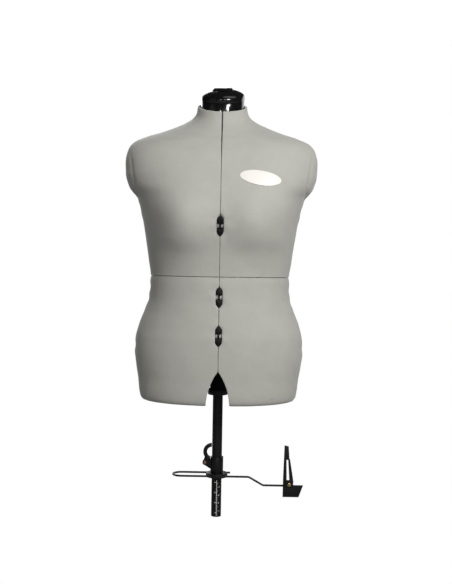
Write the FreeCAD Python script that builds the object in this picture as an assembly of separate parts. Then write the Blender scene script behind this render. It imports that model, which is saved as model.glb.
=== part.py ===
"""Adjustable dress form: quarter panels on thumbwheel spindles, centre pole, neck cap, hem marker.

Frame: origin at the centre of the pole's lower end, +Z up, the figure faces -Y,
and +X is the wearer's left.  Millimetres throughout.
"""
import FreeCAD
import Part

import math
import os

V = FreeCAD.Vector

# ---- driving dimensions --------------------------------------------------------------
WAIST_Z = 602.5              # where upper and lower body meet, above the pole's lower end
WAIST_HALF_GAP = 1.0
BODY_WIDTH = 470.0           # across the arm ends, at the smallest setting
DRAWN_WIDTH = 470.0          # the body width that the sections below are drawn for

# sections of the body at its smallest setting, from the edge at the waist
# columns: height, half width, front depth, back depth, roundness, slope of the section to the front
UPPER_SECTIONS = [
    (0.0, 173.0, 133, 112, 2.15, 0.00),
    (36.5, 176.5, 136, 115, 2.15, 0.00),
    (81.5, 182.0, 142, 120, 2.15, 0.00),
    (123.5, 189.5, 148, 125, 2.20, 0.00),
    (161.5, 197.5, 150, 128, 2.30, 0.00),
    (189.5, 205.5, 148, 129, 2.42, 0.00),
    (218.5, 225.5, 143, 129, 2.55, 0.00),
    (249.5, 234.0, 137, 127, 2.65, 0.02),
    (281.5, 235.0, 127, 122, 2.70, 0.04),
    (308.5, 230.5, 115, 116, 2.65, 0.07),
    (327.5, 218.0, 104, 109, 2.55, 0.11),
    (343.5, 186.0, 95, 102, 2.45, 0.16),
    (356.0, 146.0, 87, 94, 2.35, 0.21),
    (368.0, 112.5, 79, 85, 2.20, 0.26),
    (379.5, 87.5, 71.5, 76, 2.10, 0.30),
    (391.5, 70.5, 65, 68, 2.00, 0.335),
    (405.0, 62.5, 60, 61.5, 2.00, 0.36),
    (421.0, 60.0, 58, 58, 2.00, 0.37),
]
LOWER_SECTIONS = [
    (-306.0, 178.0, 117, 121, 2.20, 0.0),
    (-304.0, 186.5, 125, 129, 2.20, 0.0),
    (-297.0, 192.5, 130.5, 135, 2.20, 0.0),
    (-280.0, 196.0, 134, 139, 2.20, 0.0),
    (-251.5, 199.0, 136, 142, 2.20, 0.0),
    (-219.5, 204.0, 138, 144, 2.25, 0.0),
    (-186.5, 207.4, 139, 143, 2.25, 0.0),
    (-151.5, 206.0, 138, 138, 2.25, 0.0),
    (-116.5, 197.5, 134, 131, 2.20, 0.0),
    (-83.5, 184.5, 131, 122, 2.15, 0.0),
    (-53.5, 174.5, 130, 114, 2.15, 0.0),
    (-26.5, 171.9, 131, 111, 2.15, 0.0),
    (0.0, 171.5, 132, 111, 2.15, 0.0),
]
# swellings of the body: centre x, height over the waist, how far it stands out, spread in x and z
BUST = (105, 130.5, 44, 58, 50)
BELLY = (0, -110.5, 7, 95, 55)
SEAT = (86, -177.5, 21, 55, 58)
BLADE_BONE = (80, 265.5, 9, 48, 45)

SEAM_HALF_GAP = 1.0          # half the gap between neighbouring panels, closed
PANEL_TRAVEL = 20.0          # how far each panel edge moves off its seam
COVER_WALL = 3.0             # foam-backed cloth
COVER_GAP = 0.3              # cloth to shell
SHELL_WALL = 2.2
HEM_SECTIONS = 2             # lower sections that only the cloth has
FITTING_GAP = 0.3            # shell to the fittings behind it
BORE_CLEAR = 0.05            # round a shaft or bar that turns or slides in a bore

# adjusters
SPINDLE_ROD_R = 4.0
SPINDLE_HUB_STEP = 2.25      # the middle of the spindle stands out from the rod by this
SPINDLE_SPARE = 15.0         # rod beyond the panel's travel, each side
WHEEL_R = 17.0
WHEEL_WIDTH = 4.3
WHEEL_PROUD = 1.0            # wheel rim beyond the cage's face
CAGE_WIDTH = 15.0
CAGE_TIP = 7.0               # cage above and below the wheel's rim
CAGE_RECESS = 1.0            # cage face behind the cloth's face
CAGE_POINT = 1.6             # height of a cage's pointed end over half its width
CAGE_BACK_WALL = 3.0
LENS_CLEAR = 0.5             # cage to the notch in the panels
TURN_CLEAR = 0.4             # wheel and spindle to the cage
SPINDLE_END_CLEAR = 0.1      # the spindle's middle ends this far inside the cage's sides
NUT_CLEAR = 0.5              # nut block to the edge of the notch
NUT_LENGTH = 8.5
NUT_HEIGHT = 24.0
NUT_BEHIND_AXIS = 9.0
BUST_ADJUSTER_Z = WAIST_Z + 121.0
BUST_SIDE_ADJUSTER_Z = WAIST_Z + 154.5
WAIST_ADJUSTER_Z = WAIST_Z - 48.0
WAIST_SIDE_ADJUSTER_Z = WAIST_Z - 40.5
HIP_ADJUSTER_Z = WAIST_Z - 139.0
HIP_SIDE_ADJUSTER_Z = WAIST_Z - 178.5

# crotch opening, at the bottom of the front and back seams
ARCH_TOP_Z = WAIST_Z - 222.5
ARCH_HALF_WIDTH = 28.0
ARCH_SIDE_R = 150.0

# centre column
POLE_R = 12.5
POLE_WALL = 1.5
POLE_TOP_Z = WAIST_Z + 9.5
SOCKET_DEPTH = 50.0          # how deep the pole goes into a stand, marked by a turned line
SOCKET_LINE = (1.5, 0.3)     # width and depth of that line
COLUMN_OVERLAP = 112.0       # inner pole inside the pole, closed
COLUMN_ABOVE_PLATE = 20.0    # inner pole above the neck plate
HUB_BOTTOM_Z = WAIST_Z - 295.5
HUB_WALL = 7.5
HUB_FLANGE_RIM = 5.0
HUB_FLANGE_HEIGHT = 15.0
HUB_FLANGE_EDGE = 1.0
HUB_PLATE_Z = WAIST_Z - 100.5   # top of the plate that the lower panels slide on
HUB_PLATE_R = 104.0
HUB_PLATE_THICK = 4.0
HUB_SLEEVE_ABOVE = 16.0      # sleeve above the plate
HUB_CONE = 22.0              # cone under the plate, as wide as it is high
NECK_PLATE_Z = WAIST_Z + 358.5  # top of the plate that the upper panels slide on
NECK_PLATE_R = 60.0
NECK_PLATE_THICK = 4.0
NECK_POST_WALL = 5.0
NECK_POST_BELOW = 24.0
STRAP_THICK = 3.0
STRAP_CORNER_IN = 2.0        # inner corner of each strap, less than the hub's radius by this
SLIDE_LIFT = 0.2             # strap above the plate that carries it

# neck band, cap and knob
NECK_CLEAR = 0.7             # band to the panels' inner faces
BAND_SHOWING = 17.0
BAND_BELOW = 22.0
BAND_WALL = 3.0
CAP_RIM = 6.5                # upright edge of the cap
CAP_OVERHANG = 0.8
CAP_DOME = 18.0
WELL_DEPTH = 7.5             # round hollow in the dome that the knob turns in
WELL_CLEAR = 1.6             # its wall to the knob's ends
CAP_JOINT = 1.2              # groove between band and cap, round the cap's foot
CAP_WALL = 3.0
KNOB_LENGTH = 50.0
KNOB_DEPTH = 15.0
KNOB_HEIGHT = 10.0
KNOB_STEM_R = 8.0
KNOB_STEM_LENGTH = 22.0
KNOB_LIFT = 1.0
KNOB_CHAMFER = 4.0
KNOB_EDGE = 1.2

# hem marker
COLLAR_WALL = 3.5
COLLAR_TOP_Z = 150.0
SPIGOT_WALL = 1.85           # part of the collar that the ring turns on
LIP_PROUD = 1.0
LIP_THICK = 2.8
RING_TOP_Z = 109.5
RING_RIM = 12.55
RING_EDGE = 1.0
WIRE_R = 2.5
WIRE_COVER = 2.5             # ring above and below the wire
WIRE_WALL = 4.05             # ring between the wire and the collar
WIRE_LEFT = 112.0
WIRE_STUB_PAST = 7.0         # rear leg's end beyond the ring
WIRE_STEP_X = (80.0, 116.0)
WIRE_LOW_Z = 84.0
WIRE_END_X = 174.0
WIRE_BEND_R = 14.0
LUG_HALF = 7.0
EAR_THICK = 3.6
EAR_EYE_R = 6.0
EAR_WEB = (5.5, 19.0, 8.0, 5.6)    # below the pivot at the eye and at the collar, above it there and here
EAR_WEB_IN = 1.0             # web's end inside the eye
LEVER_THICK = 6.0
LEVER_WIDTH = 9.5
LEVER_REACH = 14.0           # pivot beyond the collar
LEVER_PIVOT_DOWN = 15.0      # pivot below the collar's top
LEVER_RISE = 27.0            # middle of its bend above the pivot
LEVER_BEND_R = 22.0          # outside of the bend
LEVER_CLEAR = 0.6            # tip to the pole, foot to the collar
LEVER_EYE_EXTRA = 0.5        # eye's radius beyond half the lever's width
LEVER_WEB = (12.0, 16.0)     # web's corners above the pivot
RIVET_R = 4.0
RIVET_HEAD = 1.6
RIVET_STEP = 1.0             # head beyond the shank
SHEET = 2.0
SHEET_GAP = 0.2
MARKER_PAST = 7.0            # rivet that joins blade and plate, beyond the wire's end
MARKER_UP = 4.0              # and above the wire
MARKER_RIVET_R = 3.0
MARKER_RIVET_HEAD_R = 4.5
MARKER_RIVET_HEADS = (1.4, 1.0)    # thickness in front and behind
# outlines round the marker's rivet, in x and z
PLATE_OUTLINE = [(-15.9, -31.5), (23.9, -31.5), (34.7, -1.5), (9.0, -1.5), (9.0, 7.0), (-15.5, 7.0)]
BLADE_OUTLINE = [(-14.5, -6.0), (9.0, -6.0), (10.4, 8.0), (1.0, 64.0), (-0.5, 65.0), (-2.8, 96.0),
                 (-13.2, 98.5), (-14.0, 65.0), (-15.7, 8.0)]
BLADE_SLOT = [(-6.5, 11.5), (0.0, 11.5), (-3.5, 62.0), (-7.7, 62.0)]
GRIP_WALL = 1.6              # plate's tongue round the wire
GRIP_LENGTH = 8.0
BRIDGE_START = 2.0           # from the tongue's near end
BRIDGE_ROUND_WIRE = (3.0, 2.0)     # below and above the wire's axis

# badge on the wearer's left chest
BADGE_X = 93.0
BADGE_Z = WAIST_Z + 233.5
BADGE_HALF = (49.0, 17.5)
BADGE_TILT = -7.5
BADGE_THICK = 1.2

# ---- sizes that follow ---------------------------------------------------------------
WIDTH_SHARE = BODY_WIDTH / DRAWN_WIDTH


def at_real_size(sections, edge_z):
    """Body sections with their real heights and widths."""
    return [(edge_z + row[0], row[1] * WIDTH_SHARE) + row[2:] for row in sections]


UPPER_STATIONS = at_real_size(UPPER_SECTIONS, WAIST_Z + WAIST_HALF_GAP)
LOWER_STATIONS = at_real_size(LOWER_SECTIONS, WAIST_Z - WAIST_HALF_GAP)
NECK_SIDE_Z = UPPER_STATIONS[-1][0]
NECK_SLOPE = UPPER_STATIONS[-1][5]
NECK_ANGLE = math.degrees(math.atan(NECK_SLOPE))
SHELL_OUT = COVER_WALL + COVER_GAP
SHELL_IN = SHELL_OUT + SHELL_WALL
FITTING_OUT = SHELL_IN + FITTING_GAP
AXIS_DEPTH = WHEEL_R - WHEEL_PROUD
CAGE_HEIGHT = 2 * (WHEEL_R + CAGE_TIP)
SPINDLE_HUB_R = SPINDLE_ROD_R + SPINDLE_HUB_STEP
SPINDLE_HUB_HALF = CAGE_WIDTH / 2 - SPINDLE_END_CLEAR
SPINDLE_HALF = PANEL_TRAVEL + SPINDLE_SPARE
NUT_START = CAGE_WIDTH / 2 + LENS_CLEAR + NUT_CLEAR
BAND_A = UPPER_STATIONS[-1][1] - SHELL_IN - NECK_CLEAR
BAND_B = UPPER_STATIONS[-1][2] - SHELL_IN - NECK_CLEAR
BAND_TOP_Z = NECK_SIDE_Z + BAND_SHOWING
HUB_R = POLE_R + HUB_WALL
HUB_FLANGE_R = HUB_R + HUB_FLANGE_RIM
STRAP_START = HUB_R - STRAP_CORNER_IN
INNER_POLE_R = POLE_R - POLE_WALL - BORE_CLEAR
COLUMN_TOP_Z = NECK_PLATE_Z + COLUMN_ABOVE_PLATE
COLLAR_R = POLE_R + COLLAR_WALL
RING_BORE_R = POLE_R + SPIGOT_WALL + 2 * BORE_CLEAR
RING_R = RING_BORE_R + RING_RIM
RING_THICK = 2 * (WIRE_R + WIRE_COVER)
WIRE_Z = RING_TOP_Z - RING_THICK / 2
WIRE_OFFSET = RING_BORE_R + WIRE_WALL + WIRE_R   # wire legs before and behind the pole
WIRE_STUB = RING_R + WIRE_STUB_PAST
LEVER_PIVOT = (-COLLAR_R - LEVER_REACH, COLLAR_TOP_Z - LEVER_PIVOT_DOWN)
MARKER_X = WIRE_END_X + MARKER_PAST
MARKER_Z = WIRE_LOW_Z + MARKER_UP
PLATE_FRONT_Y = -WIRE_OFFSET - WIRE_R - SHEET - SHEET_GAP
BLADE_FRONT_Y = PLATE_FRONT_Y - SHEET - SHEET_GAP

STATIONS = {"upper": UPPER_STATIONS, "lower": LOWER_STATIONS}
# the lower shells end above the hem, where the cloth turns in under them
SHELL_STATIONS = {"upper": UPPER_STATIONS, "lower": LOWER_STATIONS[HEM_SECTIONS:]}
# heights of the adjusters, on the middle seams and on the side seams
ADJUSTERS = {
    "upper": {"bust": (BUST_ADJUSTER_Z, BUST_SIDE_ADJUSTER_Z)},
    "lower": {"waist": (WAIST_ADJUSTER_Z, WAIST_SIDE_ADJUSTER_Z),
              "hip": (HIP_ADJUSTER_Z, HIP_SIDE_ADJUSTER_Z)},
}

SIDE_ROWS = 13               # points round a quarter section
ROWS_PER_STATION = 2
CORE_SHARE = 0.02            # how thin the space inside is drawn at the column
FINE_STEP = 1e-3             # of a station or a radian, for slopes
CORE_DROP = 0.01             # lowers a hollow's foot through the piece's own foot
PAST = 1.0                   # how far a cut or a joint runs past the piece
BIG = 400.0                  # longer than any cut needs


# ---- body surface --------------------------------------------------------------------
def smooth_column(values, s):
    """Value at position s between evenly counted stations, with no overshoot."""
    last = len(values) - 1
    i = min(int(s), last - 1)
    steps = [values[k + 1] - values[k] for k in range(last)]

    def slope(k):
        if k == 0:
            return steps[0]
        if k == last:
            return steps[-1]
        before, after = steps[k - 1], steps[k]
        if before * after <= 0:
            return 0.0
        return 2 * before * after / (before + after)

    t = s - i
    m0, m1 = slope(i), slope(i + 1)
    p0, p1 = values[i], values[i + 1]
    a = 2 * t ** 3 - 3 * t ** 2 + 1
    b = t ** 3 - 2 * t ** 2 + t
    c = -2 * t ** 3 + 3 * t ** 2
    d = t ** 3 - t ** 2
    return a * p0 + b * m0 + c * p1 + d * m1


def swelling(shape, x, z):
    cx, up, height, spread_x, spread_z = shape
    cx, cz, spread_x = cx * WIDTH_SHARE, WAIST_Z + up, spread_x * WIDTH_SHARE
    across = math.exp(-((x - cx) / spread_x) ** 2 / 2)
    if cx:
        across += math.exp(-((x + cx) / spread_x) ** 2 / 2)
    return height * across * math.exp(-((z - cz) / spread_z) ** 2 / 2)


def body_point(stations, front, s, angle):
    """Point on the outer skin, on the wearer's left; angle 0 is the side, 90 the middle."""
    columns = [[row[k] for row in stations] for k in range(6)]
    z, half, front_d, back_d, power, slope = [smooth_column(c, s) for c in columns]
    depth = front_d if front else back_d
    c, n = math.cos(angle), math.sin(angle)
    k = (abs(c) ** power + abs(n) ** power) ** (-1 / power)
    x = half * c * k
    out = depth * n * k
    for bump in ((BUST, BELLY) if front else (SEAT, BLADE_BONE)):
        out += swelling(bump, x, z) * n
    y = -out if front else out
    return V(x, y, z + slope * y)


def body_normal(stations, front, s, angle):
    last = len(stations) - 1
    s0, s1 = max(s - FINE_STEP, 0), min(s + FINE_STEP, last)
    a0, a1 = max(angle - FINE_STEP, 0), min(angle + FINE_STEP, math.pi / 2)
    along = body_point(stations, front, s1, angle).sub(body_point(stations, front, s0, angle))
    round_ = body_point(stations, front, s, a1).sub(body_point(stations, front, s, a0))
    normal = along.cross(round_)
    normal.normalize()
    if normal.dot(V(math.cos(angle), -math.sin(angle) if front else math.sin(angle), 0)) < 0:
        normal = normal.multiply(-1)
    return normal


def depth_grid(stations, front, depth):
    """Grid of points the given depth under the skin, its side edges on the seam planes."""
    sign = -1 if front else 1
    rows = []
    for i in range(ROWS_PER_STATION * (len(stations) - 1) + 1):
        s = i / ROWS_PER_STATION
        row = []
        for j in range(SIDE_ROWS):
            angle = j / (SIDE_ROWS - 1) * math.pi / 2
            p = body_point(stations, front, s, angle)
            p = p.sub(body_normal(stations, front, s, angle).multiply(depth))
            x = 0.0 if j == SIDE_ROWS - 1 else p.x
            y = 0.0 if j == 0 else p.y
            row.append(V(x + SEAM_HALF_GAP, y + sign * SEAM_HALF_GAP, p.z))
        rows.append(row)
    return rows


def core_grid(stations, front):
    """The skin drawn in close to the column, to close a solid of the space inside."""
    sign = -1 if front else 1
    grid = depth_grid(stations, front, FITTING_OUT)
    out = []
    for i, row in enumerate(grid):
        z = smooth_column([st[0] for st in stations], i / ROWS_PER_STATION)
        slope = smooth_column([st[5] for st in stations], i / ROWS_PER_STATION)
        new = []
        for p in row:
            x = (p.x - SEAM_HALF_GAP) * CORE_SHARE
            y = (p.y - sign * SEAM_HALF_GAP) * CORE_SHARE
            new.append(V(x + SEAM_HALF_GAP, y + sign * SEAM_HALF_GAP, z + slope * y))
        out.append(new)
    return out


def grid_face(grid):
    surface = Part.BSplineSurface()
    surface.interpolate(grid)
    return surface.toShape()


def side_curves(face):
    """The four border edges, in the order low, high, side, middle."""
    surface = face.Surface
    u0, u1, v0, v1 = surface.bounds()
    curves = [surface.uIso(u0), surface.uIso(u1), surface.vIso(v0), surface.vIso(v1)]
    return [curve.toShape() for curve in curves]


def wall_solid(outer_grid, inner_grid):
    outer = grid_face(outer_grid)
    inner = grid_face(inner_grid)
    faces = [outer, inner]
    for a, b in zip(side_curves(outer), side_curves(inner)):
        faces.append(Part.makeRuledSurface(a, b))
    shell = Part.makeShell(faces)
    shell.sewShape()
    solid = Part.makeSolid(Part.Shell(shell.Faces))
    if solid.Volume < 0:
        solid.reverse()
    return solid


def wall(stations, front, near, far):
    return wall_solid(depth_grid(stations, front, near), depth_grid(stations, front, far))


# ---- small helpers -------------------------------------------------------------------
def box(x0, x1, y0, y1, z0, z1):
    return Part.makeBox(x1 - x0, y1 - y0, z1 - z0, V(x0, y0, z0))


def cylinder(radius, start, end):
    axis = V(*end).sub(V(*start))
    return Part.makeCylinder(radius, axis.Length, V(*start), axis)


def upright(radius, z0, z1):
    return cylinder(radius, (0, 0, z0), (0, 0, z1))


def tube(outer, inner, z0, z1):
    return upright(outer, z0, z1).cut(upright(inner, z0 - PAST, z1 + PAST))


def bar_along_y(radius, x, z, y0=-BIG, y1=BIG):
    return cylinder(radius, (x, y0, z), (x, y1, z))


def prism_xz(wire_points, y0, y1):
    """Prism along Y of a closed outline of straight sides in the XZ plane."""
    points = [V(x, y0, z) for x, z in wire_points]
    wire = Part.makePolygon(points + [points[0]])
    return Part.Face(wire).extrude(V(0, y1 - y0, 0))


def slot_face(half_width, half_height):
    """Upright slot with a pointed arch at each end, in the XZ plane round the origin."""
    rise = CAGE_POINT * half_width
    straight = half_height - rise
    radius = (rise ** 2 + half_width ** 2) / (2 * half_width)
    turn = math.atan2(rise, radius - half_width) / 2
    x, z = half_width - radius + radius * math.cos(turn), straight + radius * math.sin(turn)
    edges = []
    for a, b in ((1, 1), (-1, -1)):
        side = V(a * half_width, 0, b * straight)
        tip = V(0, 0, b * half_height)
        edges.append(Part.makeLine(V(a * half_width, 0, -b * straight), side))
        edges.append(Part.Arc(side, V(a * x, 0, b * z), tip).toShape())
        edges.append(Part.Arc(tip, V(-a * x, 0, b * z), V(-a * half_width, 0, b * straight)).toShape())
    return Part.Face(Part.Wire(edges))


def slot_prism(half_width, half_height, y0, y1):
    face = slot_face(half_width, half_height)
    face.translate(V(0, y0, 0))
    return face.extrude(V(0, y1 - y0, 0))


def mirrored(shape):
    return shape.mirror(V(0, 0, 0), V(1, 0, 0))


def fuse_all(shapes):
    out = shapes[0]
    for shape in shapes[1:]:
        out = out.fuse(shape)
    return out.removeSplitter()


def export(name, shapes):
    shape = shapes[0] if len(shapes) == 1 else Part.makeCompound(shapes)
    for solid in shape.Solids:
        if not solid.isValid() or solid.Volume <= 0:
            print("bad solid in", name, solid.Volume)
    shape.exportStep("parts/" + name + ".step")
    print(name, len(shape.Solids), "solids,", round(shape.Volume / 1000, 1), "cm3")


# ---- adjusters -----------------------------------------------------------------------
def surface_at(stations, side, z):
    """Distance of the skin from the column at height z in a seam plane, and its lean."""
    def distance(height):
        zs = [st[0] for st in stations]
        low, high = 0.0, len(stations) - 1.0
        for _ in range(50):
            mid = (low + high) / 2
            if smooth_column(zs, mid) < height:
                low = mid
            else:
                high = mid
        if side in ("left", "right"):
            return body_point(stations, True, low, 0.0).x + SEAM_HALF_GAP
        p = body_point(stations, side == "front", low, math.pi / 2)
        return abs(p.y) + SEAM_HALF_GAP

    reach = CAGE_HEIGHT / 4
    lean = math.degrees(math.atan((distance(z + reach) - distance(z - reach)) / (2 * reach)))
    return distance(z), lean


def adjuster_place(stations, side, z):
    """Placement of an adjuster drawn round its own axis along X, facing -Y."""
    distance, lean = surface_at(stations, side, z)
    centre = distance - CAGE_RECESS - AXIS_DEPTH
    turn = {"front": 0, "left": 90, "back": 180, "right": -90}[side]
    place = FreeCAD.Placement(V(0, 0, 0), FreeCAD.Rotation(V(1, 0, 0), lean))
    place = FreeCAD.Placement(V(0, -centre, z), FreeCAD.Rotation()).multiply(place)
    return FreeCAD.Placement(V(0, 0, 0), FreeCAD.Rotation(V(0, 0, 1), turn)).multiply(place)


def placed(shape, place):
    out = shape.copy()
    out.Placement = place.multiply(out.Placement)
    return out


def cage():
    half_width, half_height = CAGE_WIDTH / 2, CAGE_HEIGHT / 2
    back = SPINDLE_HUB_R + TURN_CLEAR + CAGE_BACK_WALL
    body = slot_prism(half_width, half_height, -AXIS_DEPTH, back)
    opening = SPINDLE_HUB_R + TURN_CLEAR
    body = body.cut(box(-BIG, BIG, -BIG, opening, -opening, opening))
    slot_half = WHEEL_WIDTH / 2 + TURN_CLEAR
    return body.cut(cylinder(WHEEL_R + TURN_CLEAR, (-slot_half, 0, 0), (slot_half, 0, 0)))


def spindle():
    rod = cylinder(SPINDLE_ROD_R, (-SPINDLE_HALF, 0, 0), (SPINDLE_HALF, 0, 0))
    hub = cylinder(SPINDLE_HUB_R, (-SPINDLE_HUB_HALF, 0, 0), (SPINDLE_HUB_HALF, 0, 0))
    return fuse_all([rod, hub])


def wheel():
    half = WHEEL_WIDTH / 2
    ring = cylinder(WHEEL_R, (-half, 0, 0), (half, 0, 0))
    return ring.cut(cylinder(SPINDLE_HUB_R, (-BIG, 0, 0), (BIG, 0, 0)))


def nut(sign):
    """Nut block on one side of the wheel, still to be trimmed to the shell."""
    start, end = sorted((sign * NUT_START, sign * (NUT_START + NUT_LENGTH)))
    block = box(start, end, -AXIS_DEPTH, NUT_BEHIND_AXIS, -NUT_HEIGHT / 2, NUT_HEIGHT / 2)
    return block.cut(cylinder(SPINDLE_ROD_R + BORE_CLEAR, (-BIG, 0, 0), (BIG, 0, 0)))


def notch():
    reach = LENS_CLEAR + CAGE_WIDTH / 2
    return slot_prism(reach, CAGE_HEIGHT / 2 + 2 * LENS_CLEAR, -AXIS_DEPTH * 2, 0)


# ---- panels --------------------------------------------------------------------------
def arch_cutter():
    """Pointed arch between two arcs, through the front and back of the hips."""
    low = LOWER_STATIONS[0][0] - 2 * COVER_WALL
    rise = ARCH_TOP_Z - low
    chord = math.hypot(ARCH_HALF_WIDTH, rise)
    bow = ARCH_SIDE_R - math.sqrt(ARCH_SIDE_R ** 2 - (chord / 2) ** 2)
    mid_x, mid_z = ARCH_HALF_WIDTH / 2, low + rise / 2
    out_x, out_z = rise / chord, ARCH_HALF_WIDTH / chord
    middle = V(mid_x + out_x * bow, 0, mid_z + out_z * bow)
    right = Part.Arc(V(ARCH_HALF_WIDTH, 0, low), middle, V(0, 0, ARCH_TOP_Z)).toShape()
    left_middle = V(-middle.x, 0, middle.z)
    left = Part.Arc(V(0, 0, ARCH_TOP_Z), left_middle, V(-ARCH_HALF_WIDTH, 0, low)).toShape()
    foot = Part.makeLine(V(-ARCH_HALF_WIDTH, 0, low), V(ARCH_HALF_WIDTH, 0, low))
    face = Part.Face(Part.Wire([right, left, foot]))
    face.translate(V(0, -BIG, 0))
    return face.extrude(V(0, 2 * BIG, 0))


def panel(section, front):
    """Cover, shell and fittings of one quarter on the wearer's left."""
    stations, shell_stations = STATIONS[section], SHELL_STATIONS[section]
    middle_side = "front" if front else "back"
    adjusters = []
    for middle_z, side_z in ADJUSTERS[section].values():
        adjusters += [(middle_side, middle_z), ("left", side_z)]
    plate_z = NECK_PLATE_Z if section == "upper" else HUB_PLATE_Z
    cover = wall(stations, front, 0, COVER_WALL)
    shell = wall(shell_stations, front, SHELL_OUT, SHELL_IN)
    inside = wall_solid(depth_grid(shell_stations, front, FITTING_OUT), core_grid(shell_stations, front))
    sign = -1 if front else 1
    fittings = []
    for side, z in adjusters:
        place = adjuster_place(stations, side, z)
        hole = placed(notch(), place)
        cover = cover.cut(hole)
        shell = shell.cut(hole)
        # seen from its own front, a seam's adjuster has this panel on one side
        nut_sign = {"front": 1, "back": -1, "left": sign}[side]
        fittings.append(placed(nut(nut_sign), place).common(inside))
    if section == "lower":
        arch = arch_cutter()
        cover = cover.cut(arch)
        shell = shell.cut(arch)
    strap_y = sorted((sign * STRAP_START, sign * BIG))
    strap = box(STRAP_START, BIG, strap_y[0], strap_y[1],
                plate_z + SLIDE_LIFT, plate_z + SLIDE_LIFT + STRAP_THICK)
    fittings.append(strap.common(inside))
    return cover, shell, fittings


def badge():
    layer = wall(UPPER_STATIONS, True, -COVER_GAP - BADGE_THICK, -COVER_GAP)
    half_x, half_z = BADGE_HALF
    oval = Part.Ellipse(V(0, 0, 0), half_x, half_z).toShape()
    face = Part.Face(Part.Wire([oval]))
    face.rotate(V(0, 0, 0), V(0, 0, 1), BADGE_TILT)
    face.rotate(V(0, 0, 0), V(1, 0, 0), 90)
    face.translate(V(BADGE_X, 0, BADGE_Z))
    return face.extrude(V(0, -BIG, 0)).common(layer)


# ---- column and neck -----------------------------------------------------------------
def above_neck_plane(side_z):
    """Everything above the tilted plane that passes the column's sides at side_z."""
    slab = box(-BIG, BIG, -BIG, BIG, 0, BIG)
    slab.rotate(V(0, 0, 0), V(1, 0, 0), NECK_ANGLE)
    slab.translate(V(0, 0, side_z))
    return slab


def neck_ellipse(a, b, z0, z1):
    """Upright elliptical bar, longer half axis first whichever way it lies."""
    if a >= b:
        curve = Part.Ellipse(V(0, 0, z0), a, b)
    else:
        curve = Part.Ellipse(V(0, b, z0), V(a, 0, z0), V(0, 0, z0))
    return Part.Face(Part.Wire([curve.toShape()])).extrude(V(0, 0, z1 - z0))


def neck_slice(a, b, low_z, high_z):
    bar = neck_ellipse(a, b, low_z - BIG / 2, high_z + BIG / 2)
    return bar.common(above_neck_plane(low_z)).cut(above_neck_plane(high_z))


def neck_band():
    low = NECK_SIDE_Z - BAND_BELOW
    ring = neck_slice(BAND_A, BAND_B, low, BAND_TOP_Z)
    hollow = neck_slice(BAND_A - BAND_WALL, BAND_B - BAND_WALL, low + BAND_WALL, BAND_TOP_Z + PAST)
    return ring.cut(hollow)


def neck_frame():
    """Placement whose Z runs along the cap's axis, from the middle of the band's top."""
    return FreeCAD.Placement(V(0, 0, BAND_TOP_Z), FreeCAD.Rotation(V(1, 0, 0), NECK_ANGLE))


def cap_solid(a, b, rim, dome):
    """Low dome over an ellipse: an upright rim, then a quarter-round crown."""
    foot = upright(1, 0, rim)
    crown = Part.makeSphere(1, V(0, 0, 0), V(0, 0, 1), 0, 90, 360)
    stretch = FreeCAD.Matrix()
    stretch.scale(a, b, 1)
    foot = foot.transformGeometry(stretch)
    stretch = FreeCAD.Matrix()
    stretch.scale(a, b, dome)
    crown = crown.transformGeometry(stretch)
    crown.translate(V(0, 0, rim))
    return foot.fuse(crown)


def elliptic_ring(a, b, wall_thick, z0, z1):
    outer = neck_ellipse(a, b, z0, z1)
    return outer.cut(neck_ellipse(a - wall_thick, b - wall_thick, z0 - PAST, z1 + PAST))


def well_floor():
    return CAP_RIM + CAP_DOME - WELL_DEPTH


def neck_cap():
    """Hollow dome on a foot ring, with a round well for the knob in its top."""
    b_slope = BAND_B / math.cos(math.radians(NECK_ANGLE))
    a, b = BAND_A + CAP_OVERHANG, b_slope + CAP_OVERHANG
    dome = cap_solid(a, b, CAP_RIM, CAP_DOME)
    core = cap_solid(a - CAP_WALL, b - CAP_WALL, CAP_RIM, CAP_DOME - CAP_WALL)
    core.translate(V(0, 0, -CORE_DROP))
    well_r = KNOB_LENGTH / 2 + WELL_CLEAR
    cup = upright(well_r + CAP_WALL, well_floor() - CAP_WALL, BIG).common(dome)
    boss = upright(KNOB_STEM_R + BORE_CLEAR + CAP_WALL, 0, well_floor())
    foot = elliptic_ring(BAND_A - CAP_JOINT, b_slope - CAP_JOINT, CAP_WALL - CAP_JOINT, -CAP_JOINT, 0)
    cap = dome.cut(core).fuse(foot).fuse(cup).fuse(boss)
    cap = cap.cut(upright(well_r, well_floor(), BIG))
    cap = cap.cut(upright(KNOB_STEM_R + BORE_CLEAR, -BIG, BIG))
    cap.translate(V(0, 0, CAP_JOINT))
    return placed(cap, neck_frame())


def neck_knob():
    low = CAP_JOINT + well_floor() + KNOB_LIFT
    high = low + KNOB_HEIGHT
    half, depth, c = KNOB_LENGTH / 2, KNOB_DEPTH / 2, KNOB_CHAMFER
    right_end = [(half - c, low), (half, low + c), (half, high - c), (half - c, high)]
    left_end = [(-x, z) for x, z in reversed(right_end)]
    bar = prism_xz(right_end + left_end, -depth, depth)
    bar = bar.makeChamfer(KNOB_EDGE, [e for e in bar.Edges if abs(e.BoundBox.YLength) < 1e-6])
    stem = upright(KNOB_STEM_R, low - KNOB_STEM_LENGTH, low + PAST)
    return placed(fuse_all([bar, stem]), neck_frame())


def neck_plate():
    plate = upright(NECK_PLATE_R, NECK_PLATE_Z - NECK_PLATE_THICK, NECK_PLATE_Z)
    floor_z = NECK_SIDE_Z - BAND_BELOW
    post = upright(INNER_POLE_R + BORE_CLEAR + NECK_POST_WALL, NECK_PLATE_Z - NECK_POST_BELOW, floor_z + BIG)
    post = post.cut(above_neck_plane(floor_z))
    whole = plate.fuse(post).removeSplitter()
    return whole.cut(upright(INNER_POLE_R + BORE_CLEAR, 0, COLUMN_TOP_Z))


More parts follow.
